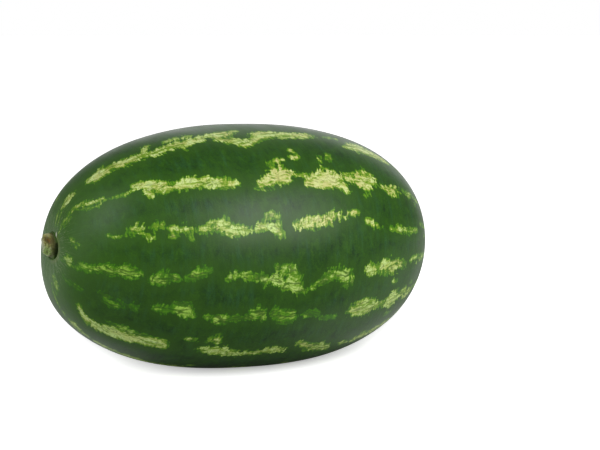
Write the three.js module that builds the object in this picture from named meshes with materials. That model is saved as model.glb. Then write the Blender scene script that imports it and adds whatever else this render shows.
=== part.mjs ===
// A whole oval watermelon lying on its side. Millimetres, +Z up.
//
// The fruit is one solid: a long, full oval with a dimple at the stem end, a small
// corky scar at the blossom end and a flat spot underneath, where it rests. The
// dried stub of its stem stands in the dimple, cut aslant, and is a piece of its own.
//
// +X runs along the fruit, from the stem end to the blossom end. The origin is on
// the ground, under the middle of the fruit's box.

import * as THREE from 'three';

// The oval body
const halfLength = 173;
const halfWidth = 106;
const fullness = 2.34; // 2 gives an ellipse, more gives fuller shoulders
const blossomSwell = 0.017; // how much fatter the blossom half is, as a share
const restDepth = 2; // how far the underside is flattened

// The body isn't quite round: two slow waves, their sizes as shares of the radius.
// The first makes it faintly three-sided. The second presses its two halves a
// little oval, one across the other.
const threeSided = { size: 0.016, start: 1.62, twist: 2 };
const crossedOvals = { size: 0.006, start: 3.43 };

// The stem end: the stem grows a little above the tip of the oval
const stemRise = 12;
const stemRiseSpread = 6; // higher keeps the shift closer to the tip
const stemHollow = { depth: 4, spread: 26.4 }; // broad and shallow, round the dimple
const chin = { swing: 0.424, height: 1.9, spread: 34.7 }; // a fuller place under the stem
const seatRadius = 10.2; // flat floor of the dimple, which carries the stub
const dimpleRadius = 11.2; // of its mouth, where it fits the stub closely
const dimpleOpening = 7.2; // how much wider the mouth is on its open side
const openSide = new THREE.Vector3(0, -0.96, -0.28); // the way that its mouth opens
const openSpread = 8; // higher keeps the opening narrower
const dimpleDepth = 8;

// The dried stub
const stubRadius = 9.5;
const stubHeight = 8.7; // at its middle
const stubSlantUp = THREE.MathUtils.degToRad(11); // its top is cut aslant, longer above
const stubSlantBack = THREE.MathUtils.degToRad(10); // and longer at the back
const stubGap = 0.3; // between the stub and the floor of the dimple
const pithDepth = 1.1; // how far its middle has shrunk in
const stubLobes = [
  { count: 5, depth: 0.025, turn: 0.6 },
  { count: 9, depth: 0.018, turn: 2.1 },
];

// The blossom end
const hollowRadius = 19;
const hollowDepth = 1.1;
const scarRadius = 4.6;
const scarHeight = 0.7;
const scarWidth = 1.3;

// Fineness of the faceted surface
const meridians = 72;
const bandSteps = 40; // even steps between the two ends
const stemRings = [5, seatRadius, 10.7, dimpleRadius, 12.1, 13.3, 14.8, 16.5, 18.6, 21.5, 26, 32];
const blossomRings = [1.8, 3.3, scarRadius, 5.9, 7.6, 10, 13.5, 17, hollowRadius, 25, 32];
const stubSides = 40;

const sizes = new THREE.Vector3(halfLength, halfWidth, halfWidth);

function smooth(from, to, value) {
  return THREE.MathUtils.smoothstep(value, from, to);
}

// A point of the plain oval. 'swing' goes from 0 at the stem end to PI at the
// blossom end, and 'turn' goes round the fruit from 0 at its top.
function ovalPoint(swing, turn) {
  const aim = new THREE.Vector3(
    -Math.cos(swing),
    -Math.sin(swing) * Math.sin(turn),
    Math.sin(swing) * Math.cos(turn),
  );
  const nearStem = ((1 - aim.x) / 2) ** stemRiseSpread;
  aim.z += (stemRise / halfWidth) * nearStem;
  aim.normalize();

  const side = Math.hypot(aim.y, aim.z);
  const reach = (Math.abs(aim.x) ** fullness + side ** fullness) ** (-1 / fullness);
  const along = aim.x * reach;
  const corners = Math.cos(3 * turn + threeSided.start + threeSided.twist * along);
  const press = Math.sin(2 * swing) * Math.cos(2 * turn + crossedOvals.start);
  const girth = 1 + blossomSwell * along + threeSided.size * Math.sin(swing) * corners
    + crossedOvals.size * press;
  return aim.multiplyScalar(reach).multiply(sizes)
    .multiply(new THREE.Vector3(1, girth, girth));
}

// The place and outward direction of one end of the oval
function endOf(swing) {
  const tip = ovalPoint(swing, 0);
  const step = swing < 1 ? 0.05 : -0.05;
  const ring = [0, 0.5, 1, 1.5].map((half) => ovalPoint(swing + step, half * Math.PI));
  const across = ring[0].sub(ring[2]);
  const upright = ring[1].sub(ring[3]);
  const out = across.cross(upright).normalize();
  if (out.x * tip.x < 0) out.negate();
  return { tip, out };
}

const stemEnd = endOf(0);
const blossomEnd = endOf(Math.PI);

// Where a point is from an end: how high above it, and how far from its axis and
// in which direction
function placeAtEnd(point, end) {
  const away = point.clone().sub(end.tip);
  const height = away.dot(end.out);
  away.addScaledVector(end.out, -height);
  return { height, radius: away.length(), away };
}

// A soft rounded bump, 1 at its middle
function bell(distance, spread) {
  return Math.exp(-((distance / spread) ** 2));
}

const chinPoint = ovalPoint(chin.swing, Math.PI);

function dentStem(point) {
  const { height, radius, away } = placeAtEnd(point, stemEnd);
  const open = (1 + away.dot(openSide) / Math.max(radius, 1)) / 2;
  const mouth = dimpleRadius + dimpleOpening * open ** openSpread;
  const hollow = stemHollow.depth * bell(radius, stemHollow.spread);
  const fuller = chin.height * bell(point.distanceTo(chinPoint), chin.spread);
  const outside = smooth(seatRadius, mouth, radius);
  const wanted = THREE.MathUtils.lerp(-dimpleDepth, height - hollow + fuller, outside);
  return point.addScaledVector(stemEnd.out, wanted - height);
}

function dentBlossom(point) {
  const { radius } = placeAtEnd(point, blossomEnd);
  const hollow = hollowDepth * (1 - smooth(0, hollowRadius, radius));
  const scar = scarHeight * bell(radius - scarRadius, scarWidth);
  return point.addScaledVector(blossomEnd.out, scar - hollow);
}

function fruitPoint(swing, turn) {
  const point = ovalPoint(swing, turn);
  if (swing < 1) dentStem(point);
  if (swing > 2) dentBlossom(point);
  point.z = Math.max(point.z, restDepth - halfWidth);
  return point;
}

// A closed surface from its first tip, over rings of equal count, to its last tip
function closedSurface(rings) {
  const points = [];
  const starts = [];
  for (const ring of rings) {
    starts.push(points.length);
    points.push(...ring);
  }
  const faces = [];
  for (let row = 0; row + 1 < rings.length; row += 1) {
    const here = rings[row].length;
    const next = rings[row + 1].length;
    const count = Math.max(here, next);
    for (let i = 0; i < count; i += 1) {
      const j = (i + 1) % count;
      const a = starts[row] + (i % here);
      const b = starts[row] + (j % here);
      const c = starts[row + 1] + (i % next);
      const d = starts[row + 1] + (j % next);
      if (here > 1) faces.push(a, b, c);
      if (next > 1) faces.push(b, d, c);
    }
  }
  const geometry = new THREE.BufferGeometry().setFromPoints(points);
  geometry.setIndex(faces);
  geometry.computeVertexNormals();
  return geometry;
}

function circleOf(count, pointAt) {
  return Array.from({ length: count }, (_, i) => pointAt((i / count) * 2 * Math.PI));
}

// The fruit
function makeFruit() {
  const fromStem = stemRings.map((radius) => Math.asin(radius / halfWidth));
  const toBlossom = blossomRings.map((radius) => Math.PI - Math.asin(radius / halfWidth));
  toBlossom.reverse();
  const first = fromStem[fromStem.length - 1];
  const last = toBlossom[0];
  const swings = [...fromStem];
  for (let step = 1; step < bandSteps; step += 1) {
    swings.push(THREE.MathUtils.lerp(first, last, step / bandSteps));
  }
  swings.push(...toBlossom);

  const rings = swings.map((swing) => circleOf(meridians, (turn) => fruitPoint(swing, turn)));
  const surface = closedSurface([[fruitPoint(0, 0)], ...rings, [fruitPoint(Math.PI, 0)]]);
  const skin = new THREE.MeshStandardMaterial({ color: 0x33591f, roughness: 0.42, metalness: 0 });
  const mesh = new THREE.Mesh(surface, skin);
  mesh.name = 'fruit';
  return mesh;
}

// The stub, standing on its base along its own +Z. Its own +X is up, and +Y the back.
// Its outline is in shares of its radius and its height.
function makeStub() {
  const outline = [
    [0.88, 0], [0.93, 0.12], [0.97, 0.35], [1, 0.62], [1, 0.82], [0.95, 0.94], [0.85, 0.99],
    [0.7, 1], [0.52, 0.975], [0.36, 0.935], [0.2, 0.9],
  ];
  const slopeUp = Math.tan(stubSlantUp);
  const slopeBack = Math.tan(stubSlantBack);
  const rings = outline.map(([share, height]) => circleOf(stubSides, (turn) => {
    let radius = stubRadius * share;
    for (const lobe of stubLobes) {
      radius *= 1 + lobe.depth * Math.cos(lobe.count * turn + lobe.turn);
    }
    const x = radius * Math.cos(turn);
    const y = radius * Math.sin(turn);
    return new THREE.Vector3(x, y, (stubHeight + slopeUp * x + slopeBack * y) * height);
  }));
  const base = new THREE.Vector3(0, 0, 0);
  const pith = new THREE.Vector3(0, 0, stubHeight - pithDepth);
  const surface = closedSurface([[base], ...rings, [pith]]);
  const cork = new THREE.MeshStandardMaterial({ color: 0x8a8450, roughness: 0.85, metalness: 0 });
  const mesh = new THREE.Mesh(surface, cork);
  mesh.name = 'stem_stub';
  mesh.position.copy(stemEnd.tip).addScaledVector(stemEnd.out, stubGap - dimpleDepth);
  mesh.quaternion.setFromUnitVectors(new THREE.Vector3(0, 0, 1), stemEnd.out);
  return mesh;
}

const melon = new THREE.Group();
melon.add(makeFruit(), makeStub());

// Stand it on the ground, with its box centred over the origin
melon.updateMatrixWorld(true);
const box = new THREE.Box3().setFromObject(melon, true);
const middle = box.getCenter(new THREE.Vector3());
melon.position.set(-middle.x, -middle.y, -box.min.z);

export default melon;
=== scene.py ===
import math
from functools import partial
import bpy
import numpy as np
from mathutils import Matrix, Vector


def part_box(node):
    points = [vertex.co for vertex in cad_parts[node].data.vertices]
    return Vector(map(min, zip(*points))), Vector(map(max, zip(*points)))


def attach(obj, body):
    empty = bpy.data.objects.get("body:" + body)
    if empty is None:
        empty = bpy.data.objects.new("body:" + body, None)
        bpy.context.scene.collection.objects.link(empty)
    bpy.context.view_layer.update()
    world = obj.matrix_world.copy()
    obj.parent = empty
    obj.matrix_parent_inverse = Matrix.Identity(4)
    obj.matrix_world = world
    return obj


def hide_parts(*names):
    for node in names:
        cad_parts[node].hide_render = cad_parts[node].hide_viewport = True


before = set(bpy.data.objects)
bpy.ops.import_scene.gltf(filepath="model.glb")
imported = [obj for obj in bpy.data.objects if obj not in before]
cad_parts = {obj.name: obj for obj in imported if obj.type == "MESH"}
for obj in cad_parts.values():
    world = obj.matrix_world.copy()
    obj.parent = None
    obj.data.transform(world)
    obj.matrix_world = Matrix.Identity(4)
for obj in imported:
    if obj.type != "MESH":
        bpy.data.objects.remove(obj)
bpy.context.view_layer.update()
print("frame loaded")

metresPerMm = 0.001

# the fruit's form in millimetres, the same formula as in the CAD part
form = {
    "halfLength": 173.0, "halfWidth": 106.0, "fullness": 2.34, "blossomSwell": 0.017,
    "restDepth": 2.0,
    "threeSided": 0.016, "threeSidedStart": 1.62, "threeSidedTwist": 2.0,
    "crossedOvals": 0.006, "crossedOvalsStart": 3.43,
    "stemRise": 12.0, "stemRiseSpread": 6,
    "stemHollowDepth": 4.0, "stemHollowSpread": 26.4,
    "chinSwing": 0.424, "chinHeight": 1.9, "chinSpread": 34.7,
    "seatRadius": 10.2, "dimpleRadius": 11.2, "dimpleOpening": 7.2, "openSide": (0.0, -0.96, -0.28),
    "openSpread": 8, "dimpleDepth": 8.0,
    "hollowRadius": 19.0, "hollowDepth": 1.1,
    "scarRadius": 4.6, "scarHeight": 0.7, "scarWidth": 1.3,
}


def smooth(low, high, value):
    share = np.clip((value - low) / (high - low), 0.0, 1.0)
    return share * share * (3.0 - 2.0 * share)


# a soft rounded bump, 1 at its middle
def bell(distance, spread):
    return np.exp(-(distance / spread) ** 2)


# even turns round a ring, as one row
def turnsAround(count):
    return np.arange(count)[None, :] / count * 2.0 * math.pi


# how far each point of a line is from its start, along the line
def travelledAlong(line):
    steps = np.linalg.norm(np.diff(line, axis=0), axis=1)
    return np.concatenate([[0.0], np.cumsum(steps)])


# a point of the plain oval: swing runs from 0 at the stem end to pi at the
# blossom end, and turn runs round the fruit from 0 at its top
def ovalPoints(swing, turn):
    aimX = -np.cos(swing) + 0.0 * turn
    aimY = -np.sin(swing) * np.sin(turn)
    aimZ = np.sin(swing) * np.cos(turn)
    nearStem = ((1.0 - aimX) / 2.0) ** form["stemRiseSpread"]
    aimZ = aimZ + form["stemRise"] / form["halfWidth"] * nearStem
    length = np.sqrt(aimX ** 2 + aimY ** 2 + aimZ ** 2)
    aimX, aimY, aimZ = aimX / length, aimY / length, aimZ / length
    side = np.hypot(aimY, aimZ)
    power = form["fullness"]
    reach = (np.abs(aimX) ** power + side ** power) ** (-1.0 / power)
    along = aimX * reach
    corners = np.cos(3.0 * turn + form["threeSidedStart"] + form["threeSidedTwist"] * along)
    press = np.sin(2.0 * swing) * np.cos(2.0 * turn + form["crossedOvalsStart"])
    girth = 1.0 + form["blossomSwell"] * along
    girth = girth + form["threeSided"] * np.sin(swing) * corners + form["crossedOvals"] * press
    width = form["halfWidth"] * reach * girth
    return np.stack([form["halfLength"] * along, aimY * width, aimZ * width], axis=-1)


# the place and the outward direction of one end of the oval
def endOf(swing):
    step = 0.05 if swing < 1.0 else -0.05
    tip = ovalPoints(np.array(swing), np.array(0.0))
    ring = ovalPoints(np.full(4, swing + step), np.arange(4) * 0.5 * math.pi)
    out = np.cross(ring[0] - ring[2], ring[1] - ring[3])
    out = out / np.linalg.norm(out)
    if out[0] * tip[0] < 0.0:
        out = -out
    return tip, out


stemTip, stemOut = endOf(0.0)
blossomTip, blossomOut = endOf(math.pi)
chinPoint = ovalPoints(np.array(form["chinSwing"]), np.array(math.pi))


# each point's height above an end's tip and its distance from that end's axis
def placeAtEnd(points, tip, out):
    away = points - tip
    height = away @ out
    radius = np.linalg.norm(away - height[..., None] * out, axis=-1)
    return height, radius


# how wide the dimple's mouth is, for how open it is on that side
def mouthRadius(openness):
    return form["dimpleRadius"] + form["dimpleOpening"] * openness ** form["openSpread"]


# the stem dimple at each point: how far from its axis and from its mouth, how
# open it is on that side, and 0 on its floor to 1 outside it
def dimpleAt(points):
    away = points - stemTip
    away = away - (away @ stemOut)[..., None] * stemOut
    radius = np.linalg.norm(away, axis=-1)
    openness = (1.0 + away @ np.array(form["openSide"]) / np.maximum(radius, 1.0)) / 2.0
    mouth = mouthRadius(openness)
    return radius, radius - mouth, openness, smooth(form["seatRadius"], mouth, radius)


# everything that the fruit's fine surface adds to the CAD form
fruitLook = {
    "around": 352, "lengthwise": 268,
    "stemRings": 44,         # finer rings over the stem dimple
    "blossomRings": 22,
    "dentEdge": 31.0,        # mm from the end's axis, where the fine rings stop
    "firstRing": 0.03,       # the ring next to a tip, as a share of that distance
    "stemSide": 1.0, "blossomSide": 2.0,      # the swings that bound what is at each end
    "pleatCount": 17, "pleatDepth": 0.06,     # faint pleats round the dimple, mm
    "pleatStart": (14.0, 19.0), "pleatEnd": (18.0, 34.0), "pleatWander": 1.3,
    "lumpHeight": 0.22,      # slow unevenness of the skin, mm
    # a pale spot on the rim: mm up and back from the stem's axis, where it fades, mm, and
    # its width as a share of its height
    "paleSpot": (8.6, -9.2), "paleSpotEdge": (0.9, 1.9), "paleSpotShape": 0.5,
    "farAway": 100.0,        # mm, painted where a detail of an end is nowhere near
}


def fruitPoints(swing, turn):
    points = ovalPoints(swing, turn)
    height, radius = placeAtEnd(points, stemTip, stemOut)
    hollow = form["stemHollowDepth"] * bell(radius, form["stemHollowSpread"])
    fromChin = np.linalg.norm(points - chinPoint, axis=-1)
    fuller = form["chinHeight"] * bell(fromChin, form["chinSpread"])
    outside = dimpleAt(points)[3]
    wanted = -form["dimpleDepth"] * (1.0 - outside) + (height - hollow + fuller) * outside
    pleatZone = smooth(*fruitLook["pleatStart"], radius) * (1.0 - smooth(*fruitLook["pleatEnd"], radius))
    pleats = np.cos(fruitLook["pleatCount"] * turn + fruitLook["pleatWander"] * np.sin(3.0 * turn))
    wanted = wanted + fruitLook["pleatDepth"] * pleatZone * pleats
    move = np.where(swing + 0.0 * turn < fruitLook["stemSide"], wanted - height, 0.0)
    points = points + move[..., None] * stemOut
    height, radius = placeAtEnd(points, blossomTip, blossomOut)
    hollow = form["hollowDepth"] * (1.0 - smooth(0.0, form["hollowRadius"], radius))
    ridge = form["scarHeight"] * bell(radius - form["scarRadius"], form["scarWidth"])
    move = np.where(swing + 0.0 * turn > fruitLook["blossomSide"], ridge - hollow, 0.0)
    points = points + move[..., None] * blossomOut
    slow = np.sin(5.0 * turn + 2.0 * swing) * np.sin(9.0 * swing + 1.0)
    slow = slow + np.sin(8.0 * turn - 3.0 * swing + 2.0) * np.sin(6.0 * swing)
    lumps = 1.0 + fruitLook["lumpHeight"] / form["halfWidth"] * np.sin(swing) ** 2 * slow
    points[..., 1:] = points[..., 1:] * lumps[..., None]
    points[..., 2] = np.maximum(points[..., 2], form["restDepth"] - form["halfWidth"])
    return points


# rows of swing, fine over the two ends and even between them
def swingRows():
    edge = fruitLook["dentEdge"] / form["halfWidth"]
    first = fruitLook["firstRing"]
    stem = np.arcsin(np.linspace(first, 1.0, fruitLook["stemRings"]) * edge)
    blossom = math.pi - np.arcsin(np.linspace(1.0, first, fruitLook["blossomRings"]) * edge)
    count = fruitLook["lengthwise"] - len(stem) - len(blossom)
    between = np.linspace(stem[-1], blossom[0], count + 2)[1:-1]
    return np.concatenate([stem, between, blossom])


def newObject(name, data):
    made = bpy.data.objects.new(name, data)
    bpy.context.scene.collection.objects.link(made)
    return made


# a closed mesh over rings of points, with a tip at each end
def closedMesh(name, rings, firstTip, lastTip):
    rows, columns = rings.shape[:2]
    count = rows * columns
    vertices = np.concatenate([rings.reshape(-1, 3), [firstTip], [lastTip]]) * metresPerMm
    here = np.arange(columns)
    after = (here + 1) % columns
    start = np.arange(rows - 1)[:, None] * columns
    quads = np.stack([start + here, start + after, start + columns + after,
                      start + columns + here], axis=-1).reshape(-1, 4)
    lastRow = (rows - 1) * columns
    firstFan = np.stack([np.full(columns, count), after, here], axis=-1)
    lastFan = np.stack([lastRow + here, lastRow + after, np.full(columns, count + 1)], axis=-1)
    faces = quads.tolist() + firstFan.tolist() + lastFan.tolist()
    mesh = bpy.data.meshes.new(name)
    mesh.from_pydata(vertices.tolist(), [], faces)
    mesh.update()
    mesh.shade_smooth()
    return newObject(name, mesh)


# paints numbers or vectors on every vertex, for the materials. Each layer has the
# rings' values, then the first and the last tip's.
def paint(piece, layers):
    for name, (values, first, last) in layers.items():
        kind, field, size = ("FLOAT_VECTOR", "vector", 3) if np.ndim(first) else ("FLOAT", "value", 1)
        everything = np.concatenate([values.reshape(-1, size), np.reshape([first, last], (2, size))])
        layer = piece.data.attributes.new(name, kind, "POINT")
        layer.data.foreach_set(field, np.ascontiguousarray(everything, dtype=np.float32).ravel())


# Each stripe is a chain of strokes. A stroke is a list of places (share of the way
# from the stem to the blossom end in percent, turn in degrees, half width in
# degrees), and strength says how clearly it shows. Cream says how pale a stripe's
# core is, from 0 for a fresh green. Ragged says how torn its edges are, 1 where it
# isn't given.
visibleStripes = [
    {"cream": 0.88, "ragged": 0.8, "strokes": [
        (0.65, [(5.5, 14, 3), (7.6, 9.8, 3), (9.1, 8, 2.4)]),
        (0.5, [(6.2, 28, 3), (8, 22, 2.4), (9.6, 19, 2)]),
        (1.0, [(10.4, 14.5, 3.5), (11.6, 15, 6), (12.8, 15, 6), (14.8, 16, 3.8)]),
        (1.0, [(19.8, 19, 3.5), (21.5, 19.5, 6.2), (23.5, 19.5, 6), (26.5, 20, 4.6), (28, 21.2, 3.8),
            (31, 21.3, 3.6), (33.5, 22.3, 3.2), (35, 21.5, 3.2), (37, 21, 3.6), (39, 20.5, 3.6),
            (41, 19, 2.8)]),
        (0.75, [(35.5, 14.5, 1.2), (37.2, 13.5, 2.2), (39, 13.5, 1.8), (40.5, 14, 1)]),
        (0.9, [(31.5, 18, 2), (32.5, 14, 2.5)]),
        (0.8, [(37.5, 22, 2), (37.5, 27, 0.8)]),
        (1.0, [(41, 16.5, 2.2), (43, 16.5, 3), (45, 16, 4.5), (46.7, 14.5, 2.5), (47.8, 12.8, 1)]),
        (1.0, [(43.5, 21, 2.5), (45.5, 23.5, 4), (47.3, 26.5, 3.2), (49, 24.5, 3), (51, 20, 4.8),
            (53, 18.5, 3.5), (54.5, 20.5, 3.8), (57, 20, 3.2), (60, 19.5, 2.4)]),
        (0.5, [(62.5, 19.5, 1.5), (64.5, 19, 1.8)]),
        (0.9, [(65, 28.5, 1.5), (67, 25.5, 5), (69, 25, 6), (71, 27, 5), (74, 29, 3)]),
    ]},
    {"cream": 0.9, "ragged": 0.75, "strokes": [
        (0.75, [(6, 49.2, 3), (7.6, 43.5, 3.2), (9.6, 41.5, 2.6), (11, 40, 2.6), (12, 38.5, 3)]),
        (0.5, [(9, 50, 2.6), (10.4, 48, 2.6), (11.6, 46, 2)]),
        (0.9, [(12.6, 38, 2.4), (14.2, 37.5, 3), (16.3, 39.5, 3), (17.8, 42.5, 2.2), (19.5, 44.5, 1.8),
            (21, 44, 1.2)]),
        (0.6, [(15.5, 44, 1), (17, 47.5, 1), (19.5, 49, 1.2), (20.5, 47, 1)]),
        (0.9, [(19.8, 45, 0.9), (21.2, 46, 0.8), (22.8, 46.8, 0.7), (24.5, 47.3, 0.8), (26, 46.6, 0.8),
            (27.2, 45.5, 1)]),
        (1.0, [(27, 43.5, 1.8), (28.1, 44.4, 3.1), (29.5, 45.8, 4), (30.5, 47, 3.8), (31.3, 48.2, 3.2),
            (32.2, 49, 3), (33.1, 49.3, 3.4), (34.4, 49.4, 3.6), (35.9, 49.2, 3.7), (37.4, 49.4, 3.4),
            (38.8, 50.2, 3.8), (40, 50.9, 3), (41.2, 51.4, 3.3), (42.3, 51.8, 3)]),
        (0.9, [(28.6, 48, 2), (29.3, 50.5, 2.4), (29.6, 53, 1.2)]),
    ]},
    {"cream": 1.25, "strokes": [
        (1.0, [(46.2, 55, 1.6), (47.5, 53, 3.2), (49.3, 50.5, 4.5), (51, 49, 4.8), (52, 49, 3)]),
        (0.55, [(49.6, 46, 2), (49.2, 42, 1.6)]),
        (0.75, [(50.4, 41, 1), (51.4, 40.5, 1.8)]),
        (0.9, [(54, 34.3, 0.9), (54.3, 37, 1.3), (53.7, 39.4, 2), (54.5, 38.6, 1.6)]),
        (0.6, [(58.4, 38, 1), (58.1, 42, 1.5)]),
        (0.35, [(60.2, 36.5, 1.5), (60.1, 39.5, 1.5)]),
        (0.8, [(52, 49.5, 1.2), (54, 49.8, 1)]),
        (1.0, [(54.5, 54.4, 2), (56, 53.4, 4.2), (57.8, 52, 5.8), (59.2, 53, 4.6), (60.4, 55.6, 3.4),
            (61.3, 59.5, 1.8)]),
        (0.9, [(58.2, 46, 2), (57.9, 44, 1)]),
        (0.5, [(61.4, 51, 2), (62.8, 52, 3.2)]),
        (0.9, [(64, 52.2, 4.6), (65.3, 52.6, 5.8), (66.4, 52, 4.6), (67.1, 52, 2.6)]),
        (0.85, [(64.6, 57, 2.5), (64.7, 61, 1)]),
        (0.9, [(66, 47, 1.8), (66, 44.8, 0.8)]),
        (0.6, [(69.2, 55, 2), (70.8, 57, 3.5), (72.5, 55, 3)]),
    ]},
    {"cream": 0.7, "strokes": [
        (0.65, [(11.4, 74.5, 2.8), (12, 78, 3.4)]),
        (0.65, [(12.9, 82, 3)]),
        (0.9, [(20.7, 73.3, 1), (21.3, 74.7, 0.6), (22.6, 75.3, 0.6), (24, 74.6, 0.4)]),
        (1.0, [(24.5, 72.6, 1.2), (25.3, 70.3, 1.9)]),
        (1.0, [(26, 70.6, 2.2), (27.1, 70.4, 2)]),
        (1.0, [(28.3, 71, 1.3), (30.2, 69.7, 1.8)]),
        (1.0, [(26.7, 73.4, 1.5), (27.6, 74.7, 1.6), (28.4, 75.8, 1.7)]),
        (0.9, [(25.2, 74.5, 1.1)]),
        (0.9, [(28.8, 74, 1.2)]),
        (1.0, [(31.2, 71.4, 1.2), (32.5, 73, 1.8), (33.6, 73.2, 1.9), (34.5, 72.7, 2.3)]),
        (0.95, [(31.5, 75.9, 1.3), (32.5, 74.9, 1.3)]),
        (0.9, [(34, 74.8, 1.2), (34.4, 77, 1)]),
    ]},
    {"cream": 0.75, "strokes": [
        (1.0, [(35.8, 73.4, 1.2), (37, 73.7, 1.9), (38.2, 73.7, 2.3), (39.5, 73.4, 3.2), (40.6, 74.8, 3.4),
            (41.6, 75.3, 2.3), (42.8, 75.4, 1.8), (44, 75.3, 1.4), (45, 74, 2.3), (46.2, 73.8, 2.6),
            (47.2, 75.2, 2.4), (48.3, 77.8, 1.8)]),
        (0.9, [(37.4, 70.8, 1.1), (38.6, 70, 1.3), (39.7, 70.6, 1.5)]),
        (0.6, [(40, 69.4, 1.1), (40.1, 67, 0.6)]),
        (0.8, [(45.8, 71.5, 1), (46.4, 69.6, 1.4), (47.2, 69, 1.6), (48, 70.5, 1.5), (48.1, 73, 1.2)]),
    ]},
    {"cream": 1.1, "strokes": [
        (0.95, [(51, 74.3, 1.6), (52.4, 73.6, 2.2), (53.8, 72.4, 3.1), (55.5, 73, 2.5), (57, 71.8, 2.6),
            (58.3, 71, 2.6), (59.6, 72, 1)]),
        (0.7, [(60.8, 69.5, 1.8), (61.8, 69.5, 1.5)]),
        (0.7, [(63.5, 74, 1.2), (66, 76.5, 1.8)]),
    ]},
    {"cream": 0.55, "ragged": 0.8, "strokes": [
        (0.95, [(9, 102, 4), (10.2, 101.5, 7), (11.3, 102, 6)]),
    ]},
    {"cream": 0.08, "ragged": 0.5, "strokes": [
        (0.4, [(6.8, 112, 2), (8.3, 107, 2.2), (9.3, 102, 2.6)]),
        (0.5, [(12.4, 105.5, 1.6), (13.8, 105, 1.8), (15, 103.5, 1)]),
        (0.9, [(14.2, 101, 3.6), (16.9, 99.4, 4), (19.1, 97.9, 3.6), (20.8, 97.1, 3.5), (22.3, 96.9, 3.4),
            (23.8, 96.3, 4.2), (25.2, 96.3, 4), (26, 96.9, 2.6)]),
        (1.0, [(28.3, 99, 1.8), (29, 98.7, 3.1), (29.9, 97.9, 3.3), (30.9, 96.9, 2.8), (31.9, 96.4, 1.6)]),
        (0.7, [(29.4, 94.5, 0.8), (29.6, 93, 0.5)]),
        (0.7, [(30.6, 94, 0.8), (30.7, 92.5, 0.5)]),
        (0.95, [(33.7, 96.2, 1.6), (34.5, 95, 2.4), (35.3, 93.9, 2.6), (36.2, 92.8, 2.6), (36.8, 92.2, 2)]),
    ]},
    {"cream": 0.38, "ragged": 0.85, "strokes": [
        (0.9, [(39.7, 96.5, 1.3), (41, 95, 2.3), (43, 95, 2), (44.5, 96.5, 2), (46.3, 97.5, 2.2),
            (47.5, 97, 2.6)]),
        (0.8, [(47.6, 92.5, 2), (48.6, 93.5, 2.6), (49.8, 95.5, 3), (50.6, 98, 2.6)]),
        (0.9, [(47.8, 99.5, 1.8), (49.2, 100, 2.6), (50.8, 101.5, 3), (51.5, 104, 1.8), (52.3, 104.5, 1)]),
        (0.9, [(53, 103, 0.8), (54.3, 100.5, 1.5), (55.5, 99.5, 2), (57, 97.5, 3), (59, 97, 3),
            (60, 101, 3)]),
    ]},
    {"cream": 0.1, "ragged": 0.7, "strokes": [
        (0.35, [(10.5, 127, 2.5), (13, 125, 2)]),
        (0.5, [(14.4, 123.5, 2.2), (15.8, 122.5, 2.8)]),
        (0.28, [(20, 115, 2.2), (21.4, 118.5, 4), (22.8, 119.5, 4.2), (23.6, 118, 2.5)]),
        (0.28, [(24.8, 118, 2.2), (26.5, 116.5, 2.4)]),
        (1.0, [(29, 114, 1.6), (30.3, 114.3, 2), (31.5, 113.5, 2), (32.5, 112.5, 3.6), (33.7, 113, 4.8),
            (34.8, 116, 1.8)]),
        (0.8, [(43, 115.5, 1.2), (44.3, 114, 3), (45.2, 112.5, 3.2), (46, 115.5, 2)]),
        (0.8, [(47.8, 113.5, 3), (49, 115.5, 4), (50.5, 116.5, 3.8), (51.4, 117, 2)]),
        (0.6, [(53.5, 116.5, 1.8), (54.6, 115.5, 2), (55.7, 117, 1)]),
        (0.7, [(56.3, 120, 1), (58.8, 120, 1.4)]),
    ]},
    {"cream": 0.15, "ragged": 0.45, "strokes": [
        (1.05, [(37.2, 115.6, 1.4), (38.5, 116.2, 2.2), (40.2, 116.4, 2.4), (41.8, 115.8, 1.6)]),
    ]},
    {"cream": 0.7, "ragged": 0.55, "strokes": [
        (0.7, [(8, 154, 3.4), (10, 152.5, 5), (11.2, 152.5, 3)]),
        (1.35, [(16.9, 138.5, 1.6), (17.9, 142.8, 2.6), (19.7, 146, 3.6), (22, 145.2, 4.8), (24.1, 142, 5.4),
            (26.2, 140.3, 5.4), (28.5, 138.8, 5), (30.2, 138, 5), (31.7, 138.2, 4.8), (32.4, 140, 2)]),
    ]},
    {"cream": 0.1, "ragged": 0.8, "strokes": [
        (0.8, [(23.8, 136, 2.4), (25, 135.4, 3), (26.4, 135, 2.8), (27.7, 134.8, 2.2), (28.8, 134.2, 1.6),
            (29.9, 133.8, 1)]),
    ]},
    {"cream": 0.7, "strokes": [
        (0.6, [(35.2, 130.5, 1.2), (36.8, 131, 1.6)]),
        (0.8, [(38.4, 131, 1), (39.3, 128.5, 2.5), (40.2, 131.5, 1.5)]),
        (0.9, [(38.2, 138, 2.2), (39.5, 138.5, 4.2), (41.5, 138.3, 4), (42.7, 140.5, 3), (44.5, 141.5, 2.6),
            (46.5, 141.5, 2.4), (48.5, 140.5, 3), (50.5, 140, 3.2), (52, 141, 2.2)]),
        (0.8, [(54.3, 136.5, 1.5), (56, 139, 3.5), (58, 142, 4), (60, 146, 3)]),
    ]},
]


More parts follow.
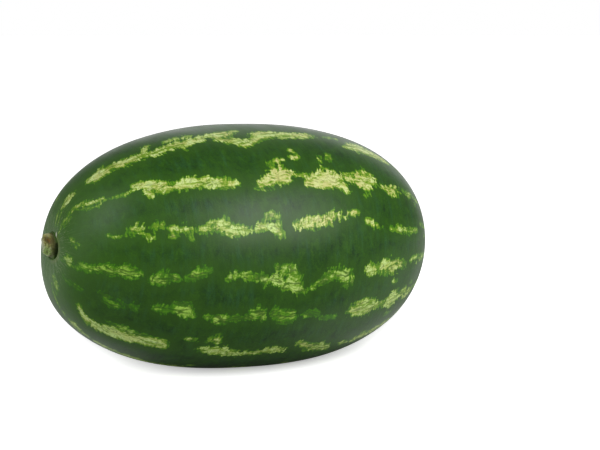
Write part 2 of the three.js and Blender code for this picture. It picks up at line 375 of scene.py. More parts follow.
# Stripes that continue past the ones above to the blossom end, and those of the far
# side: only a start, an end and a mean turn, the rest is drawn by a seeded rule. Along
# the fruit they are measured in percent of the way, across it in degrees.
looseStripes = {
    "seed": 11, "cream": 0.7, "ragged": 1.0,
    "runs": [(76, 96, 27), (74, 96, 55), (68, 96, 77), (62.5, 96, 99), (61, 96, 121), (61.5, 96, 145),
             (9, 96, 168), (10, 96, 192), (9, 96, 216), (11, 96, 241), (9, 96, 266), (10, 96, 291),
             (9, 96, 315), (11, 96, 339)],
    "farSideFrom": 20,       # a run that starts before this has no visible stripe before it
    "startBy": (0, 2), "length": (3, 11), "gap": (0.3, 2.6), "placeEvery": 1.4,
    "halfWidth": (1.8, 5.5), "unevenness": (0.6, 1.25), "leastHalfWidth": 0.8,
    "firstWander": (-2.5, 2.5), "wanderKept": 0.8, "wanderStep": (-1.6, 1.6),
    "strength": (0.8, 1.0), "leastRoom": 2,
    # a stroke's ends: how wide they are, how far in they reach and how round they are
    "endWidth": 0.35, "endReach": 0.06, "endPower": 0.6,
    # shorter and fainter strokes near the stem
    "shortBefore": 20, "shortLength": (2, 6), "faintBefore": 17, "faintStrength": (0.3, 0.7),
    # small spots beside some strokes: how often, how far along and aside
    "spotChance": 0.45, "spotAlong": (0.2, 0.8), "spotAside": (2, 6), "spotStrength": 0.75,
    "spotLength": 0.7, "spotWander": (-1, 1), "spotHalfWidths": (1.4, 1.2),
}


def looseStrokes():
    rule = looseStripes
    draw = np.random.default_rng(rule["seed"])
    strokes = []

    def drawn(name):
        return draw.uniform(*rule[name])

    for start, end, meanTurn in rule["runs"]:
        here = start + drawn("startBy")
        while here < end - rule["leastRoom"]:
            length = drawn("length")
            if here < rule["shortBefore"]:
                length = drawn("shortLength")
            stop = min(here + length, end)
            width = drawn("halfWidth")
            strength = drawn("strength")
            if here < rule["faintBefore"]:
                strength = drawn("faintStrength")
            count = max(3, int(round((stop - here) / rule["placeEvery"])))
            places = []
            wander = drawn("firstWander")
            for step in range(count):
                share = step / (count - 1)
                inside = min(max(share, rule["endReach"]), 1.0 - rule["endReach"])
                swell = math.sin(math.pi * inside) ** rule["endPower"]
                swell = rule["endWidth"] + (1.0 - rule["endWidth"]) * swell
                half = width * swell * drawn("unevenness")
                wander = wander * rule["wanderKept"] + drawn("wanderStep")
                places.append((here + share * (stop - here), meanTurn + wander,
                               max(half, rule["leastHalfWidth"])))
            strokes.append((strength, places))
            if draw.uniform() < rule["spotChance"]:
                spot = here + drawn("spotAlong") * (stop - here)
                aside = meanTurn + draw.choice([-1, 1]) * (width + drawn("spotAside"))
                first, last = rule["spotHalfWidths"]
                strokes.append((rule["spotStrength"], [
                    (spot, aside, first), (spot + rule["spotLength"], aside + drawn("spotWander"), last)]))
            here = stop + drawn("gap")
    return strokes


# distances along a meridian in millimetres, for places given by their swing
def alongMm(swing):
    samples = 400
    fine = np.linspace(0.0, math.pi, samples)
    line = ovalPoints(fine, np.full(samples, 0.5 * math.pi))
    return np.interp(swing, fine, travelledAlong(line))


# a turn or a difference of turns, as the shortest way round
def shortest(turn):
    return (turn + math.pi) % (2.0 * math.pi) - math.pi


# the middle line of every stripe as turns in degrees, at each row of swing
def middleLines(swing):
    share = swing / math.pi * 100.0
    spread = 3.5
    lines = []
    for stripe in visibleStripes:
        places = np.array([place for strength, places in stripe["strokes"] for place in places])
        weights = places[:, 2] ** 2 * bell(share[:, None] - places[:, 0], spread) + 1e-12
        lines.append((weights * places[:, 1]).sum(axis=1) / weights.sum(axis=1))
    for start, end, turn in looseStripes["runs"]:
        if start < looseStripes["farSideFrom"]:
            lines.append(np.full(len(share), float(turn)))
    return np.array(lines)


# how far each point lies beside its nearest stripe's middle line, in millimetres
def besideStripe(swing, turn):
    offsets = shortest(turn - np.radians(middleLines(swing.ravel()))[:, :, None])
    nearest = np.abs(offsets).argmin(axis=0)
    return np.take_along_axis(offsets, nearest[None], axis=0)[0] * form["halfWidth"]


noStripe = -60.0             # mm, the signed distance where no stripe is near


# signed distance to one stroke, in millimetres, positive inside, and its half width
def strokeField(places, along, across, girthRadius):
    spots = [(float(alongMm(s / 100.0 * math.pi)), math.radians(t), math.radians(h))
             for s, t, h in places]
    middleTurn = spots[0][1]
    y = shortest(across - middleTurn) * girthRadius
    field = np.full(y.shape, noStripe)
    widest = np.zeros(y.shape)
    for (x0, t0, h0), (x1, t1, h1) in list(zip(spots[:-1], spots[1:])) or [(spots[0], spots[0])]:
        y0 = (t0 - middleTurn) * girthRadius
        y1 = (t1 - middleTurn) * girthRadius
        dx, dy = x1 - x0, y1 - y0
        share = ((along - x0) * dx + (y - y0) * dy) / np.maximum(dx * dx + dy * dy, 1e-6)
        share = np.clip(share, 0.0, 1.0)
        gap = np.hypot(along - x0 - share * dx, y - y0 - share * dy)
        half = (h0 + (h1 - h0) * share) * girthRadius
        widest = np.where(half - gap > field, half, widest)
        field = np.maximum(field, half - gap)
    return field, widest


# signed distance to the stripes, with the strength, creaminess, half width and
# raggedness of the strokes nearby
def stripeField(swing, turn, girthRadius):
    across = turn % (2.0 * math.pi)
    along = alongMm(swing) + 0.0 * turn
    blendReach = 2.0
    best = np.full(along.shape, noStripe)
    weight = np.full(along.shape, 1e-9)
    totals = np.zeros((4, *along.shape))
    every = [(stripe["cream"], stripe.get("ragged", 1.0), strength, places)
             for stripe in visibleStripes for strength, places in stripe["strokes"]]
    every += [(looseStripes["cream"], looseStripes["ragged"], strength, places)
              for strength, places in looseStrokes()]
    for cream, ragged, strength, places in every:
        field, widest = strokeField(places, along, across, girthRadius)
        best = np.maximum(best, field)
        near = np.exp(np.clip(field / blendReach, -20.0, 6.0))
        weight += near
        for total, value in zip(totals, (strength, cream, widest, ragged)):
            total += near * value
    return [best, *(totals / weight)]


def buildFruit():
    rows = swingRows()[:, None]
    turns = turnsAround(fruitLook["around"])
    tips = [fruitPoints(np.array([[swing]]), np.array([[0.0]]))[0, 0] for swing in (0.0, math.pi)]
    rings = fruitPoints(rows, turns)
    piece = closedMesh("watermelon_skin", rings, *tips)

    plain = ovalPoints(rows, turns)
    girthRadius = np.maximum(np.hypot(plain[..., 1], plain[..., 2]), 1.0)
    atTips = {"stripe": noStripe, "strength": 0.0, "cream": 0.5, "halfWidth": 0.0, "ragged": 1.0}
    paint(piece, {name: (values, atTips[name], atTips[name])
                  for name, values in zip(atTips, stripeField(rows, turns, girthRadius))})

    # the skin unrolled round a cylinder, so that its pattern runs along and across
    along = alongMm(rows) + 0.0 * turns
    unrolled = np.stack([along, form["halfWidth"] * np.sin(turns) + 0.0 * along,
                         form["halfWidth"] * np.cos(turns) + 0.0 * along], axis=-1)

    # what is at either end, and a pale spot on the dimple's rim
    far = fruitLook["farAway"]
    atStem = rows < fruitLook["stemSide"]
    fromScar = placeAtEnd(rings, blossomTip, blossomOut)[1] + far * (rows < fruitLook["blossomSide"])
    radius, fromMouth, openness, outside = dimpleAt(plain)
    away = plain - stemTip
    paleSpotAway = np.hypot((away[..., 2] - fruitLook["paleSpot"][0]) * fruitLook["paleSpotShape"],
                         away[..., 1] - fruitLook["paleSpot"][1])
    paleSpot = (1.0 - smooth(*fruitLook["paleSpotEdge"], paleSpotAway)) * atStem
    paint(piece, {
        "across": (besideStripe(rows, turns), 0.0, 0.0),
        "unrolled": (unrolled, [0.0, 0.0, 0.0], [float(alongMm(math.pi)), 0.0, 0.0]),
        "fromScar": (fromScar, far, 0.0), "fromStem": (radius + far * ~atStem, 0.0, far),
        "fromMouth": (fromMouth + far * ~atStem, -10.0, far), "openness": (openness, 0.5, 0.5),
        "well": ((1.0 - outside) * atStem, 1.0, 0.0), "paleSpot": (paleSpot, 0.0, 0.0)})
    return piece


# the CAD fruit's place, found by laying the fine surface's box over its box
def cadShift(piece):
    low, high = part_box("fruit")
    points = np.array([vertex.co for vertex in piece.data.vertices])
    found = (np.array(low) + high) / 2.0 - (points.min(axis=0) + points.max(axis=0)) / 2.0
    found[2] = low[2] - points[:, 2].min()
    return Vector(found)


fruit = buildFruit()
shift = cadShift(fruit)
fruit.data.transform(Matrix.Translation(shift))
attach(fruit, "root")
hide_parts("fruit")
print("fruit surface built, shift", [round(v, 5) for v in shift])


def isSocket(value):
    return isinstance(value, bpy.types.NodeSocket)


# gives a node its inputs: another node's socket is linked, anything else is the value
def connect(node, inputs):
    for name, value in inputs.items():
        if isSocket(value):
            node.id_data.links.new(value, node.inputs[name])
        else:
            node.inputs[name].default_value = value


# makes a node in a tree, which isn't given where another node's socket is among its inputs
def add(kind, inputs=None, tree=None, **settings):
    inputs = inputs or {}
    tree = tree or next(value.id_data for value in inputs.values() if isSocket(value))
    node = tree.nodes.new("ShaderNode" + kind)
    for name, value in settings.items():
        setattr(node, name, value)
    connect(node, inputs)
    return node


def maths(operation, *values):
    return add("Math", dict(enumerate(values)), operation=operation).outputs[0]


plus = partial(maths, "ADD")
minus = partial(maths, "SUBTRACT")
times = partial(maths, "MULTIPLY")
scaled = partial(maths, "MULTIPLY_ADD")      # a value times a factor plus an extra


def vectorMaths(operation, *values):
    node = add("VectorMath", dict(enumerate(values)), operation=operation)
    return node.outputs["Value" if operation in ("LENGTH", "DOT_PRODUCT") else "Vector"]


def combine(x, y=0.0):
    return add("CombineXYZ", {"X": x, "Y": y}).outputs[0]


def ramp(value, low, high, toLow=0.0, toHigh=1.0):
    return add("MapRange",
               {"Value": value, "From Min": low, "From Max": high, "To Min": toLow, "To Max": toHigh},
               interpolation_type="SMOOTHSTEP").outputs["Result"]


# 1 between full and fading, 0 before start and after gone
def band(value, start, full, fading, gone):
    return times(ramp(value, start, full), ramp(value, gone, fading))


def mix(share, first, second):
    return add("Mix", {0: share, 2: first, 3: second}, data_type="FLOAT").outputs[0]


def blend(share, first, second):
    return add("Mix", {0: share, 6: first, 7: second}, data_type="RGBA").outputs[2]


# noise over places that are scaled by one number, or by one along the first axis and
# one along the other two
def noise(place, scale, detail=2.0, roughness=0.5, distortion=0.0):
    if not isinstance(scale, float):
        place = vectorMaths("MULTIPLY", place, (scale[0], scale[1], scale[1]))
        scale = 1.0
    return add("TexNoise",
               {"Vector": place, "Scale": scale, "Detail": detail, "Roughness": roughness,
                "Distortion": distortion}).outputs["Fac"]


# thin lines where a stretched noise crosses its middle
def lines(place, scale, width, detail=1.0):
    away = maths("ABSOLUTE", minus(noise(place, scale, detail), 0.5))
    return ramp(away, 0.0, width, 1.0, 0.0)


# a group whose outputs are numbers, as its inputs are, except those given as None,
# which are vectors
def newGroup(name, inputs, outputs):
    group = bpy.data.node_groups.new(name, "ShaderNodeTree")
    for label, value in inputs.items():
        kind = "NodeSocketVector" if value is None else "NodeSocketFloat"
        socket = group.interface.new_socket(label, in_out="INPUT", socket_type=kind)
        if value is not None:
            socket.default_value = value
    for label in outputs:
        group.interface.new_socket(label, in_out="OUTPUT", socket_type="NodeSocketFloat")
    return group, group.nodes.new("NodeGroupInput").outputs, group.nodes.new("NodeGroupOutput")


def colour(text):
    channels = [int(text[i:i + 2], 16) / 255.0 for i in (0, 2, 4)]
    linear = [c / 12.92 if c <= 0.04045 else ((c + 0.055) / 1.055) ** 2.4 for c in channels]
    return (*linear, 1.0)


# lays one colour over another, by the share that shows of it
def cover(under, share, text):
    return blend(share, under, colour(text))


# lays a look's layers over a colour. Each is a pattern, the values between which it
# comes in, how much of it shows at most and its colour's name.
def coverAll(under, patterns, layers, look):
    for pattern, low, high, most, name in layers:
        under = cover(under, ramp(patterns[pattern], low, high, 0.0, most), look[name])
    return under


# A stripe's own drawing: a solid pale shape with lobed and nicked edges, split by
# thin cracks that run along the fruit, with a fresh green fringe. A faint or a
# green stripe has wider cracks, so that only strands of it are left.
def featherGroup():
    group, given, result = newGroup(
        "feathered stripe",
        {"Distance": 0.0, "Across": 0.0, "Unrolled": None, "Strength": 1.0, "Cream": 0.8,
         "Half Width": 4.0, "Ragged": 1.0, "Lobes": 9.0, "Nicks": 8.0, "Tongues": 8.0, "Lean": 0.25},
        ["Tone", "Crack", "Blush", "Ochre", "Halo"])
    place, strength, cream = given["Unrolled"], given["Strength"], given["Cream"]
    bends = add("TexNoise", {"Vector": place, "Scale": 0.07, "Roughness": 0.6}).outputs["Color"]
    bends = vectorMaths("SUBTRACT", bends, (0.5, 0.5, 0.5))
    bends = vectorMaths("MULTIPLY", bends, (6.0, 9.0, 9.0))
    warped = vectorMaths("ADD", place, bends)
    offset = maths("ABSOLUTE", given["Across"])
    lean = combine(times(offset, given["Lean"]))
    leaning = vectorMaths("SUBTRACT", warped, lean)

    def sway(place, scale, size):
        return times(minus(noise(place, scale, 1.0), 0.5), size)

    # distance inside the ragged edge, mm, less ragged where the stripe is thin
    ragged = sway(leaning, (0.2, 0.05), given["Lobes"])
    ragged = plus(ragged, sway(leaning, (0.6, 0.15), given["Nicks"]))
    ragged = plus(ragged, sway(warped, (0.05, 0.22), given["Tongues"]))
    ragged = times(ragged, given["Ragged"])
    ragged = plus(ragged, sway(warped, (0.28, 0.75), 3.6))
    ragged = minus(ragged, scaled(strength, -0.8, 1.3))
    reach = scaled(ragged, ramp(given["Half Width"], 0.5, 4.0, 0.3, 1.0), given["Distance"])

    # how solid the stripe is here, and its cracks: along it, and a few out to its edges
    patch = noise(place, 0.09, 2.0, 0.6)
    solid = times(strength, scaled(cream, 0.6, 0.4))
    solid = plus(solid, scaled(patch, 1.6, -0.8))
    width = ramp(solid, 0.25, 0.95, 0.13, 0.022)
    along = lines(warped, (0.045, 0.2), width, 1.5)
    outward = lines(leaning, (0.26, 0.06), 0.026)
    crack = maths("MAXIMUM", along, times(outward, 0.7))

    # pale ground: cream in the middle of solid places, greener at the edge and in patches
    inner = plus(reach, scaled(patch, 13.0, -6.5))
    lengthwise = noise(warped, (0.06, 0.34), 2.0, 0.6)
    sideways = noise(leaning, (0.45, 0.1), 2.0, 0.6)
    strands = mix(ramp(reach, 0.8, 4.5, 0.15, 0.9), sideways, lengthwise)
    ground = times(ramp(inner, -0.8, 2.8, 0.44, 1.0), ramp(strands, 0.38, 0.56, 0.55, 1.0))
    grain = noise(warped, (0.2, 0.8), 2.0, 0.6)
    ground = times(ground, ramp(grain, 0.34, 0.58, 0.78, 1.08))
    outline = ramp(reach, -0.4, 0.4)
    fringe = times(ramp(reach, -1.9, -0.3, 0.0, 0.5), ramp(sideways, 0.42, 0.58, 0.25, 1.0))
    tone = times(mix(outline, fringe, ground), scaled(strength, 0.45, 0.55))
    ochre = times(ramp(patch, 0.55, 0.42), ramp(tone, 0.5, 0.8))
    blush = times(ramp(noise(place, 0.045), 0.4, 0.52, 0.4, 1.0), ramp(tone, 0.6, 0.85))
    connect(result, {
        "Tone": tone, "Crack": times(crack, outline),
        "Ochre": times(ochre, ramp(cream, 0.3, 1.0)),
        "Blush": times(blush, ramp(cream, 0.8, 1.2, 0.1, 1.0)),
        "Halo": times(ramp(given["Distance"], -14.0, -1.0), strength)})
    return group


# tones of the dark skin: slow clouds, fine blotches, faint streaks round the fruit
# and a fine grain
def mottleGroup():
    group, given, result = newGroup("mottled skin", {"Unrolled": None},
                                    ["Cloud", "Blotch", "Streak", "Grain"])
    place = given["Unrolled"]
    connect(result, {
        "Cloud": noise(place, 0.03, 3.0, 0.55),
        "Blotch": noise(place, (0.17, 0.1), 4.0, 0.7, 0.4),
        "Streak": noise(place, (0.2, 0.035), 3.0, 0.65),
        "Grain": noise(place, 0.8, 3.0, 0.6)})
    return group


feather = featherGroup()
mottle = mottleGroup()

skinLook = {
    "deep": "204808", "mid": "28520a", "dark": "15380c", "fresh": "346208", "bloom": "30603a",
    # the dark skin's layers over its deepest green
    "layers": [("Cloud", 0.3, 0.72, 1.0, "mid"), ("Blotch", 0.48, 0.32, 0.9, "dark"),
               ("Blotch", 0.5, 0.68, 0.75, "fresh"), ("Streak", 0.47, 0.7, 0.42, "bloom"),
               ("Grain", 0.5, 0.36, 0.35, "dark"), ("Grain", 0.5, 0.64, 0.3, "fresh")],
    # stripe colours from its faint edge to its core, on a fresh green and a creamy stripe
    "green": [(0.0, "2a5a06"), (0.3, "3c7804"), (0.6, "549208"), (0.82, "74aa1c"), (1.0, "98c83e")],
    "creamy": [(0.0, "2e5a06"), (0.3, "488406"), (0.55, "82a422"), (0.75, "b6ce64"), (1.0, "daee9e")],
    "halo": "305a06", "blush": "d8ce8c", "ochre": "c2b856", "crack": "35600e", "brownCrack": "747420",
    # round the stem and the blossom scar. The first colour below is painted light that lightens the stem
    # end, and the fifth is painted shade over the dimple's well
    "stemEndLight": "46741e", "ray": "7da35c", "thread": "b4c694", "rim": "76854a", "wellShade": "4c6a2c",
    "paleSpot": "dadcc8", "cork": "8d7a50", "corkDark": "4c4426",
}


def newMaterial(name):
    material = bpy.data.materials.new(name)
    material.use_nodes = True
    tree = material.node_tree
    tree.nodes.clear()
    return material, tree


# the end of a material: its bump, shader and output
def finishMaterial(material, base, height, bumpStrength, specular, roughness):
    bump = add("Bump", {"Height": height, "Strength": bumpStrength, "Distance": 0.0005})
    shader = add("BsdfPrincipled", {"Base Color": base, "Normal": bump.outputs["Normal"],
                                    "Specular IOR Level": specular, "Roughness": roughness})
    add("OutputMaterial", {"Surface": shader.outputs["BSDF"]})
    return material


def attribute(tree, name, output="Fac"):
    return add("Attribute", tree=tree, attribute_name=name).outputs[output]


def colourRamp(value, stops):
    node = add("ValToRGB", {"Fac": value})
    elements = node.color_ramp.elements
    while len(elements) < len(stops):
        elements.new(0.5)
    for element, (position, text) in zip(elements, stops):
        element.position = position
        element.color = colour(text)
    return node.outputs["Color"]


def skinMaterial():
    material, tree = newMaterial("melon skin")
    look = skinLook
    unrolled = attribute(tree, "unrolled", "Vector")
    cream = attribute(tree, "cream")
    stripe = add("Group", {
        "Distance": attribute(tree, "stripe"), "Across": attribute(tree, "across"),
        "Unrolled": unrolled, "Strength": attribute(tree, "strength"), "Cream": cream,
        "Half Width": attribute(tree, "halfWidth"), "Ragged": attribute(tree, "ragged"),
    }, node_tree=feather).outputs
    mottled = add("Group", {"Unrolled": unrolled}, node_tree=mottle).outputs

    base = coverAll(colour(look["deep"]), mottled, look["layers"], look)
    base = cover(base, times(stripe["Halo"], 0.7), look["halo"])
    fromStem = attribute(tree, "fromStem")
    # painted light: a lighter green over the skin out to 100 mm from the stem's axis, where the stem end
    # takes the light
    base = cover(base, ramp(fromStem, 100.0, 14.0, 0.0, 0.7), look["stemEndLight"])
    tone = stripe["Tone"]
    painted = blend(cream, colourRamp(tone, look["green"]), colourRamp(tone, look["creamy"]))
    painted = cover(painted, times(stripe["Ochre"], 0.4), look["ochre"])
    painted = cover(painted, times(stripe["Blush"], 0.45), look["blush"])
    base = blend(ramp(tone, 0.0, 0.22), base, painted)
    crack = times(stripe["Crack"], scaled(cream, -0.35, 0.95))
    crackTint = cover(colour(look["crack"]), stripe["Blush"], look["brownCrack"])
    base = blend(crack, base, crackTint)

    # round the stem: pale rays and threads, an olive rim, painted shade over the well and a pale spot
    rays = ramp(noise(unrolled, (0.03, 0.2), 3.0, 0.6), 0.52, 0.72, 0.0, 0.16)
    rays = times(rays, band(fromStem, 14.0, 20.0, 30.0, 62.0))
    threads = times(lines(unrolled, (0.05, 0.3), 0.022),
                    ramp(mottled["Blotch"], 0.42, 0.56, 0.0, 0.85))
    threads = times(threads, band(fromStem, 11.0, 13.5, 22.0, 44.0))
    openness = attribute(tree, "openness")
    rim = times(band(attribute(tree, "fromMouth"), -1.0, 0.8, 1.5, 5.0),
                ramp(openness, 0.6, 0.95, 0.1, 0.55))
    # painted shade: an olive shade over the dimple's well, strongest on its open near side
    well = times(ramp(attribute(tree, "well"), 0.1, 0.6), ramp(openness, 0.5, 0.85, 0.15, 0.92))
    for share, name in ((rays, "ray"), (threads, "thread"), (rim, "rim"), (well, "wellShade"),
                        (attribute(tree, "paleSpot"), "paleSpot")):
        base = cover(base, share, look[name])

    # the blossom scar: torn edges, a tan ring with cracks that run outwards, a dark middle
    torn = noise(add("TexCoord", tree=tree).outputs["Object"], 380.0, 3.0, 0.6)
    scarEdge = plus(attribute(tree, "fromScar"), scaled(torn, 7.0, -3.5))
    spokes = noise(unrolled, (0.12, 0.03), 3.0, 0.7)
    scar = cover(colour(look["corkDark"]), ramp(spokes, 0.42, 0.56), look["cork"])
    scar = cover(scar, ramp(scarEdge, 2.6, 0.8, 0.0, 0.8), look["corkDark"])
    base = cover(base, ramp(scarEdge, 11.0, 6.0, 0.0, 0.45), look["ray"])
    base = blend(ramp(scarEdge, 5.8, 5.0), base, scar)
    return finishMaterial(material, base, scaled(mottled["Streak"], 2.5, mottled["Grain"]), 0.12,
                          specular=0.37, roughness=ramp(mottled["Cloud"], 0.3, 0.7, 0.36, 0.44))


fruit.data.materials.append(skinMaterial())
print("skin material made")

# the dried stub of the stem, cut aslant, longer above and at the back
stubLook = {
    "radius": 9.5, "height": 8.7, "slantUp": 11.0, "slantBack": 10.0, "gap": 0.3,
    # how much longer its lower rim is than an even cut would leave it, and from where to
    # where that comes in, up from its middle, mm
    "lowerRise": 1.6, "lowerSide": (-1.0, -9.0),
    "around": 240, "rings": 130,
    "lobes": [(5, 0.025, 0.6), (9, 0.018, 2.1)],
    "outline": [(0.0, 0.0), (0.88, 0.0), (0.93, 0.12), (0.97, 0.35), (1.0, 0.62), (1.0, 0.82),
                (0.95, 0.94), (0.85, 0.99), (0.7, 1.0), (0.52, 0.975), (0.36, 0.935), (0.2, 0.9),
                (0.0, 0.89)],
    "topFrom": (0.45, 0.7),   # where its wall turns into its end, as a share of its outline
    "footLevel": (3.5, 5.0),  # mm above its base, where its foot ends that closes the dimple
    "footOverlap": 0.2,       # mm that the foot reaches past the dimple's mouth
    "footSide": (0.85, 0.96),                 # how open the dimple is where the foot ends
    "fibreCount": 46, "fibreDepth": 0.12,     # fibres down the wall, mm
    "fibreWander": (1.2, 0.5), "fibreLevel": (0.1, 0.3),
    # unevenness of the cut face: mm, its edge, and each wave's share, length in mm and seed
    "faceRoughness": 0.35, "faceEdge": (0.86, 1.0), "faceWaves": [(0.6, 5.0, 5), (0.4, 2.0, 6)],
    "pit": (4.0, -3.6), "pitSpread": 1.9, "pitDepth": 0.7,     # up and back from the middle, mm
    # the first colour below is painted shade, darkening the wall's base down in the groove
    "wallShade": "46552a", "wall": "66663a", "footSkin": "42621e",
    # the first colour below also gives a painted highlight along the cut face's lower back rim
    "edge": "d6d6ba", "face": "b0ac5e", "green": "92ae5e",
    "pale": "d2d6b0", "rust": "8c5a0a", "brown": "5c4c1c", "crack": "3a3818",
    "faceLayers": [("up", 2.0, -4.5, 1.0, "green"), ("blotch", 0.5, 0.36, 0.6, "crack"),
                   ("coarse", 0.5, 0.62, 0.6, "pale"), ("coarse", 0.48, 0.38, 0.6, "crack"),
                   ("aside", -5.0, -9.5, 0.7, "wall"), ("aside", 3.0, 7.5, 0.8, "edge"),
                   ("fromPit", 4.2, 2.0, 0.75, "brown"), ("fromPit", 1.7, 0.5, 0.9, "rust")],
}


# a slow random unevenness over flat places, made of a few waves in drawn directions
def waves(x, y, lengthMm, seed, count=9):
    draw = np.random.default_rng(seed)
    total = 0.0
    for step in range(count):
        heading = draw.uniform(0, 2 * math.pi)
        pace = 2 * math.pi / lengthMm * draw.uniform(0.6, 1.7)
        total = total + np.sin(pace * (x * math.cos(heading) + y * math.sin(heading))
                               + draw.uniform(0, 2 * math.pi))
    return total / math.sqrt(count)


def buildStub():
    look = stubLook
    outline = np.array(look["outline"])
    travelled = travelledAlong(outline)
    even = np.linspace(0.0, travelled[-1], look["rings"] + 2)[1:-1]
    share = np.interp(even, travelled, outline[:, 0])[:, None]
    lift = np.interp(even, travelled, outline[:, 1])[:, None]
    turns = turnsAround(look["around"])
    radius = look["radius"] * share + 0.0 * turns
    for count, depth, start in look["lobes"]:
        radius = radius * (1.0 + depth * np.cos(count * turns + start))
    isTop = smooth(*look["topFrom"], even / travelled[-1])[:, None] + 0.0 * turns
    wanderRound, wanderUp = look["fibreWander"]
    fibres = look["fibreCount"] * turns + wanderRound * np.sin(4 * turns) + wanderUp * np.sin(6 * lift)
    fibres = np.cos(fibres)
    wallZone = smooth(*look["fibreLevel"], lift) * (1.0 - isTop)
    radius = radius + look["fibreDepth"] * fibres * wallZone
    slopeUp = math.tan(math.radians(look["slantUp"])) * np.cos(turns)
    slopeBack = math.tan(math.radians(look["slantBack"])) * np.sin(turns)
    lower = look["lowerRise"] * smooth(*look["lowerSide"], radius * np.cos(turns))
    height = (look["height"] + (slopeUp + slopeBack) * radius + lower) * lift
    openness = (1.0 + form["openSide"][1] * np.sin(turns) + form["openSide"][2] * np.cos(turns)) / 2.0
    foot = (1.0 - smooth(*look["footSide"], openness)) * (1.0 - smooth(*look["footLevel"], height))
    footRadius = mouthRadius(openness) + look["footOverlap"]
    radius = radius + (footRadius - radius) * foot * (1.0 - isTop) * smooth(0.0, 0.1, lift)
    up = radius * np.cos(turns)
    aside = radius * np.sin(turns)
    onFace = isTop * (1.0 - smooth(*look["faceEdge"], share))
    relief = look["faceRoughness"] * sum(part * waves(up, aside, length, seed)
                                         for part, length, seed in look["faceWaves"])
    fromPit = np.hypot(up - look["pit"][0], aside - look["pit"][1])
    relief = relief - look["pitDepth"] * bell(fromPit, look["pitSpread"])
    height = height + relief * onFace
    back = np.array([0.0, 1.0, 0.0])
    upward = np.cross(back, stemOut)
    base = stemTip + stemOut * (look["gap"] - form["dimpleDepth"])
    points = base + up[..., None] * upward + aside[..., None] * back + height[..., None] * stemOut
    piece = closedMesh("stem_stub_cork", points, base, points[-1].mean(axis=0))
    paint(piece, {
        "up": (up, 0.0, 0.0), "aside": (aside, 0.0, 0.0), "lift": (lift + 0.0 * turns, 0.0, 1.0),
        "foot": (foot, 1.0, 0.0), "onTop": (isTop, 0.0, 1.0), "rim": (share + 0.0 * turns, 0.0, 0.0)})
    return piece


def corkMaterial():
    material, tree = newMaterial("dry cork")
    look = stubLook
    place = add("TexCoord", tree=tree).outputs["Object"]
    up = attribute(tree, "up")
    aside = attribute(tree, "aside")
    coarse = noise(place, 260.0, 3.0, 0.6)
    fine = noise(place, 900.0, 3.0, 0.65)
    blotch = noise(combine(up, aside), (0.25, 0.25), 3.0, 0.6)

    # the cut face: olive above, greener below, pale flecks, a rusty pit, dark cracks and a painted highlight
    # along its lower back rim
    pit = combine(minus(up, look["pit"][0]), times(minus(aside, look["pit"][1]), 0.45))
    fromPit = plus(vectorMaths("LENGTH", pit), 2.5)
    patterns = {"up": up, "aside": aside, "coarse": coarse, "blotch": blotch,
                "fromPit": scaled(coarse, -5.0, fromPit)}
    face = coverAll(colour(look["face"]), patterns, look["faceLayers"], look)
    # painted highlight: a pale rim along the lower back edge of the cut face
    rimHighlight = times(ramp(attribute(tree, "rim"), 0.88, 0.98), ramp(coarse, 0.3, 0.6, 0.2, 0.9))
    rimHighlight = times(rimHighlight, ramp(minus(aside, up), 0.0, 6.0))
    face = cover(face, rimHighlight, look["edge"])

    # the wall: olive, with painted shade that darkens it down in the groove, and skin green over its foot
    wall = cover(colour(look["wallShade"]), ramp(attribute(tree, "lift"), 0.35, 0.85), look["wall"])
    wall = cover(wall, ramp(attribute(tree, "foot"), 0.05, 0.5), look["footSkin"])
    base = blend(attribute(tree, "onTop"), wall, face)
    base = cover(base, ramp(fine, 0.55, 0.35, 0.0, 0.35), look["crack"])
    return finishMaterial(material, base, fine, 0.5, specular=0.3, roughness=0.75)


stub = buildStub()
stub.data.transform(Matrix.Translation(shift))
stub.data.materials.append(corkMaterial())
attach(stub, "root")
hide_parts("stem_stub")
print("stem stub built")

# floor, light and camera
studio = {
    "floorRadius": 30.0, "floorSides": 64,
    "floorSeen": "f8f8f6", "floorBounce": "ecece9", "floorMirrored": "8a8a88",
    # the floor's own glow, least in an oval under and behind the fruit, which keeps
    # its soft shadow small: the oval's middle and reach, to the left and to the back
    "glow": 0.31, "shadowMiddle": (0.012, 0.42), "shadowReach": (0.195, 0.49),
    "floorGloss": 0.03,
    "world": 0.25, "worldGloss": 0.19,
    # how bright the backdrop and the floor before it show in the skin's grazing reflections
    "backdropGloss": 1.3, "backFloorGloss": 0.5, "backdropAim": (146.0, 12.0),
    "azimuth": -27.0, "elevation": 7.0, "distance": 1.45, "lens": 100.0,
    "right": 0.0541, "up": 0.0184,
    # each lamp: azimuth, elevation, distance, width and height in metres, power, colour
    "lampAim": (0.0, 0.0, 0.105),
    "lamps": {
        "key": (20, 33, 1.5, 0.85, 1.2, 14.5, (1.0, 1.0, 1.0)),
        "fill": (-79, 41, 1.5, 0.7, 0.8, 4.4, (0.92, 0.96, 1.0)),
        "left": (-100, 15, 1.5, 0.8, 1.2, 1.9, (0.95, 0.98, 1.0)),
    },
    "white": (1.0, 1.0, 1.0, 1.0),
}


def direction(azimuth, elevation):
    a, e = math.radians(azimuth), math.radians(elevation)
    return Vector((math.sin(a) * math.cos(e), -math.cos(a) * math.cos(e), math.sin(e)))


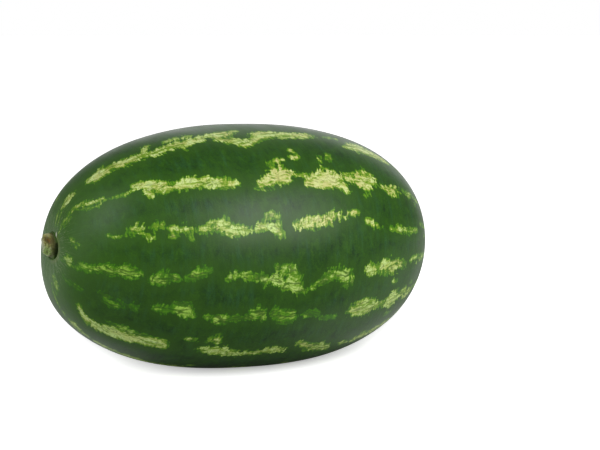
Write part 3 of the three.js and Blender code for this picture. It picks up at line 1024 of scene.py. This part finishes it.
def floorMaterial():
    material, tree = newMaterial("pale floor")
    path = add("LightPath", tree=tree).outputs
    seen, glossy = path["Is Camera Ray"], path["Is Glossy Ray"]
    place = add("TexCoord", tree=tree).outputs["Object"]
    left, back = [vectorMaths("DOT_PRODUCT", place, direction(studio["azimuth"] + turn, 0.0))
                  for turn in (-90.0, 180.0)]
    parts = [maths("DIVIDE", minus(value, middle), reach)
             for value, middle, reach in zip((left, back), studio["shadowMiddle"], studio["shadowReach"])]
    away = vectorMaths("LENGTH", combine(*parts))
    glow = ramp(away, 0.85, 1.03, studio["glow"], 1.0)
    mirrored = times(ramp(back, -0.1, -0.03), ramp(away, 0.95, 1.1))
    mirrored = maths("MAXIMUM", mirrored, ramp(back, 0.15, 0.45))
    mirrored = ramp(mirrored, 0.0, 1.0, studio["floorGloss"], studio["backFloorGloss"])
    tint = cover(colour(studio["floorBounce"]), glossy, studio["floorMirrored"])
    tint = cover(tint, seen, studio["floorSeen"])
    shader = add("BsdfPrincipled", {
        "Base Color": tint, "Roughness": 0.9, "Emission Color": studio["white"],
        "Emission Strength": scaled(seen, glow, times(glossy, mirrored))})
    add("OutputMaterial", {"Surface": shader.outputs["BSDF"]})
    return material


def buildFloor():
    sides = studio["floorSides"]
    mesh = bpy.data.meshes.new("floor")
    corners = [(math.cos(turn) * studio["floorRadius"], math.sin(turn) * studio["floorRadius"], 0.0)
               for turn in turnsAround(sides)[0]]
    mesh.from_pydata(corners, [], [list(range(sides))])
    mesh.materials.append(floorMaterial())
    floor = newObject("floor", mesh)


def placeLamps():
    middle = Vector(studio["lampAim"])
    for name, (azimuth, elevation, distance, width, height, power, tint) in studio["lamps"].items():
        data = bpy.data.lights.new(name, "AREA")
        data.shape = "RECTANGLE"
        data.size, data.size_y = width, height
        data.energy = power
        data.color = tint
        lamp = newObject(name, data)
        lamp.location = middle + direction(azimuth, elevation) * distance
        lamp.rotation_euler = (lamp.location - middle).to_track_quat("Z", "Y").to_euler()
        lamp.visible_camera = False


# a white surrounding that lights the fruit only softly
def makeWorld():
    world = bpy.data.worlds.new("studio")
    world.use_nodes = True
    tree = world.node_tree
    tree.nodes.clear()
    path = add("LightPath", tree=tree).outputs
    back = vectorMaths("DOT_PRODUCT", add("TexCoord", tree=tree).outputs["Generated"],
                       direction(*studio["backdropAim"]))
    mirrored = ramp(back, 0.84, 0.97, studio["worldGloss"], studio["backdropGloss"])
    strength = ramp(path["Is Glossy Ray"], 0.0, 1.0, studio["world"], mirrored)
    strength = maths("MAXIMUM", strength, path["Is Camera Ray"])
    shader = add("Background", {"Color": studio["white"], "Strength": strength})
    add("OutputWorld", {"Surface": shader.outputs["Background"]})
    bpy.context.scene.world = world
    bpy.context.scene.view_settings.view_transform = "Standard"


def placeCamera():
    back = direction(studio["azimuth"], studio["elevation"])
    right = direction(studio["azimuth"] + 90.0, 0.0)
    up = back.cross(right)
    target = shift + right * studio["right"] + up * studio["up"]
    data = bpy.data.cameras.new("camera")
    data.lens = studio["lens"]
    data.sensor_width = 36.0
    camera = newObject("camera", data)
    camera.location = target + back * studio["distance"]
    camera.rotation_euler = back.to_track_quat("Z", "Y").to_euler()
    bpy.context.scene.camera = camera


buildFloor()
placeLamps()
makeWorld()
placeCamera()
print("studio set")
